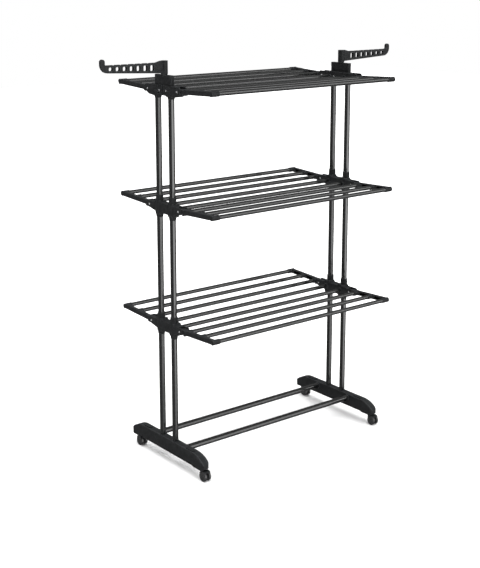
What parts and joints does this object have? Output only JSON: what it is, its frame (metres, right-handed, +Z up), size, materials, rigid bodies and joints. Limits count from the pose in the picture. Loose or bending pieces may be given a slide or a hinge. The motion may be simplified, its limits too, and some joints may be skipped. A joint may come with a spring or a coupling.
{
  "type": "rolling clothes drying rack",
  "caption": "Rolling clothes drying rack with tiers of rods on folding wings, swinging hanger arms on top and casters below.",
  "frame": {"origin": "on the floor, at the middle of the rack", "axes": "+X along the rods, +Y towards the back, +Z up"},
  "size_m": [1.516, 0.645, 1.6733],
  "materials": {
    "black_tube": "satin black powder coat on thin steel tube",
    "black_plastic": "matte black moulded plastic",
    "wheel_plastic": "matte black moulded wheel",
    "rivet_steel": "bright rivet head",
    "pin_steel": "plain steel pin"
  },
  "bodies": {
    "frame": {"post_lower_left_front": "black_tube", "post_middle_left_front": "black_tube", "post_upper_left_front": "black_tube", "post_lower_left_back": "black_tube", "post_middle_left_back": "black_tube", "post_upper_left_back": "black_tube", "post_lower_right_front": "black_tube", "post_middle_right_front": "black_tube", "post_upper_right_front": "black_tube", "post_lower_right_back": "black_tube", "post_middle_right_back": "black_tube", "post_upper_right_back": "black_tube", "fixed_rods": "black_tube", "crossbar_front": "black_tube", "crossbar_back": "black_tube", "bracket_lower_left": "black_plastic", "bracket_lower_right": "black_plastic", "bracket_middle_left": "black_plastic", "bracket_middle_right": "black_plastic", "bracket_upper_left": "black_plastic", "bracket_upper_right": "black_plastic", "rivets": "rivet_steel", "hanger_plate_left": "black_plastic", "hanger_plate_right": "black_plastic", "hanger_pivots": "pin_steel", "foot_left": "black_plastic", "foot_right": "black_plastic", "caster_stems": "pin_steel"},
    "wing_lower_front": {"arm_lower_front_left": "black_plastic", "arm_lower_front_right": "black_plastic", "wing_rods_lower_front": "black_tube"},
    "wing_lower_back": {"arm_lower_back_left": "black_plastic", "arm_lower_back_right": "black_plastic", "wing_rods_lower_back": "black_tube"},
    "wing_middle_front": {"arm_middle_front_left": "black_plastic", "arm_middle_front_right": "black_plastic", "wing_rods_middle_front": "black_tube"},
    "wing_middle_back": {"arm_middle_back_left": "black_plastic", "arm_middle_back_right": "black_plastic", "wing_rods_middle_back": "black_tube"},
    "wing_upper_front": {"arm_upper_front_left": "black_plastic", "arm_upper_front_right": "black_plastic", "wing_rods_upper_front": "black_tube"},
    "wing_upper_back": {"arm_upper_back_left": "black_plastic", "arm_upper_back_right": "black_plastic", "wing_rods_upper_back": "black_tube"},
    "hanger_left": {"hanger_arm_left": "black_plastic"},
    "hanger_right": {"hanger_arm_right": "black_plastic"},
    "caster_front_left": {"caster_hood_front_left": "black_plastic"},
    "wheel_front_left_a": {"caster_wheel_front_left_a": "wheel_plastic"},
    "wheel_front_left_b": {"caster_wheel_front_left_b": "wheel_plastic"},
    "caster_front_right": {"caster_hood_front_right": "black_plastic"},
    "wheel_front_right_a": {"caster_wheel_front_right_a": "wheel_plastic"},
    "wheel_front_right_b": {"caster_wheel_front_right_b": "wheel_plastic"},
    "caster_back_left": {"caster_hood_back_left": "black_plastic"},
    "wheel_back_left_a": {"caster_wheel_back_left_a": "wheel_plastic"},
    "wheel_back_left_b": {"caster_wheel_back_left_b": "wheel_plastic"},
    "caster_back_right": {"caster_hood_back_right": "black_plastic"},
    "wheel_back_right_a": {"caster_wheel_back_right_a": "wheel_plastic"},
    "wheel_back_right_b": {"caster_wheel_back_right_b": "wheel_plastic"}
  },
  "joints": [
    {"name": "wing_lower_front_fold", "type": "hinge", "parent": "frame", "child": "wing_lower_front", "pos_m": [0, -0.1, 0.586], "axis": [-1, 0, 0], "range_deg": [0, 87.5]},
    {"name": "wing_lower_back_fold", "type": "hinge", "parent": "frame", "child": "wing_lower_back", "pos_m": [0, 0.1, 0.586], "axis": [1, 0, 0], "range_deg": [0, 87.5]},
    {"name": "wing_middle_front_fold", "type": "hinge", "parent": "frame", "child": "wing_middle_front", "pos_m": [0, -0.1, 1.076], "axis": [-1, 0, 0], "range_deg": [0, 87.5]},
    {"name": "wing_middle_back_fold", "type": "hinge", "parent": "frame", "child": "wing_middle_back", "pos_m": [0, 0.1, 1.076], "axis": [1, 0, 0], "range_deg": [0, 87.5]},
    {"name": "wing_upper_front_fold", "type": "hinge", "parent": "frame", "child": "wing_upper_front", "pos_m": [0, -0.1, 1.543], "axis": [-1, 0, 0], "range_deg": [0, 87.5]},
    {"name": "wing_upper_back_fold", "type": "hinge", "parent": "frame", "child": "wing_upper_back", "pos_m": [0, 0.1, 1.543], "axis": [1, 0, 0], "range_deg": [0, 87.5]},
    {"name": "hanger_left_swing", "type": "hinge", "parent": "frame", "child": "hanger_left", "pos_m": [-0.468, 0, 1.61], "axis": [0, 0, -1], "range_deg": [-90, 180]},
    {"name": "hanger_right_swing", "type": "hinge", "parent": "frame", "child": "hanger_right", "pos_m": [0.468, 0, 1.61], "axis": [0, 0, 1], "range_deg": [-90, 180]},
    {"name": "caster_front_left_swivel", "type": "hinge", "parent": "frame", "child": "caster_front_left", "pos_m": [-0.468, -0.228, 0.0475], "axis": [0, 0, 1], "continuous": true},
    {"name": "wheel_front_left_a_spin", "type": "hinge", "parent": "caster_front_left", "child": "wheel_front_left_a", "pos_m": [-0.468, -0.25, 0.0205], "axis": [1, 0, 0], "continuous": true},
    {"name": "wheel_front_left_b_spin", "type": "hinge", "parent": "caster_front_left", "child": "wheel_front_left_b", "pos_m": [-0.468, -0.25, 0.0205], "axis": [1, 0, 0], "continuous": true},
    {"name": "caster_front_right_swivel", "type": "hinge", "parent": "frame", "child": "caster_front_right", "pos_m": [0.468, -0.228, 0.0475], "axis": [0, 0, 1], "continuous": true},
    {"name": "wheel_front_right_a_spin", "type": "hinge", "parent": "caster_front_right", "child": "wheel_front_right_a", "pos_m": [0.468, -0.25, 0.0205], "axis": [1, 0, 0], "continuous": true},
    {"name": "wheel_front_right_b_spin", "type": "hinge", "parent": "caster_front_right", "child": "wheel_front_right_b", "pos_m": [0.468, -0.25, 0.0205], "axis": [1, 0, 0], "continuous": true},
    {"name": "caster_back_left_swivel", "type": "hinge", "parent": "frame", "child": "caster_back_left", "pos_m": [-0.468, 0.228, 0.0475], "axis": [0, 0, 1], "continuous": true},
    {"name": "wheel_back_left_a_spin", "type": "hinge", "parent": "caster_back_left", "child": "wheel_back_left_a", "pos_m": [-0.468, 0.206, 0.0205], "axis": [1, 0, 0], "continuous": true},
    {"name": "wheel_back_left_b_spin", "type": "hinge", "parent": "caster_back_left", "child": "wheel_back_left_b", "pos_m": [-0.468, 0.206, 0.0205], "axis": [1, 0, 0], "continuous": true},
    {"name": "caster_back_right_swivel", "type": "hinge", "parent": "frame", "child": "caster_back_right", "pos_m": [0.468, 0.228, 0.0475], "axis": [0, 0, 1], "continuous": true},
    {"name": "wheel_back_right_a_spin", "type": "hinge", "parent": "caster_back_right", "child": "wheel_back_right_a", "pos_m": [0.468, 0.206, 0.0205], "axis": [1, 0, 0], "continuous": true},
    {"name": "wheel_back_right_b_spin", "type": "hinge", "parent": "caster_back_right", "child": "wheel_back_right_b", "pos_m": [0.468, 0.206, 0.0205], "axis": [1, 0, 0], "continuous": true}
  ]
}
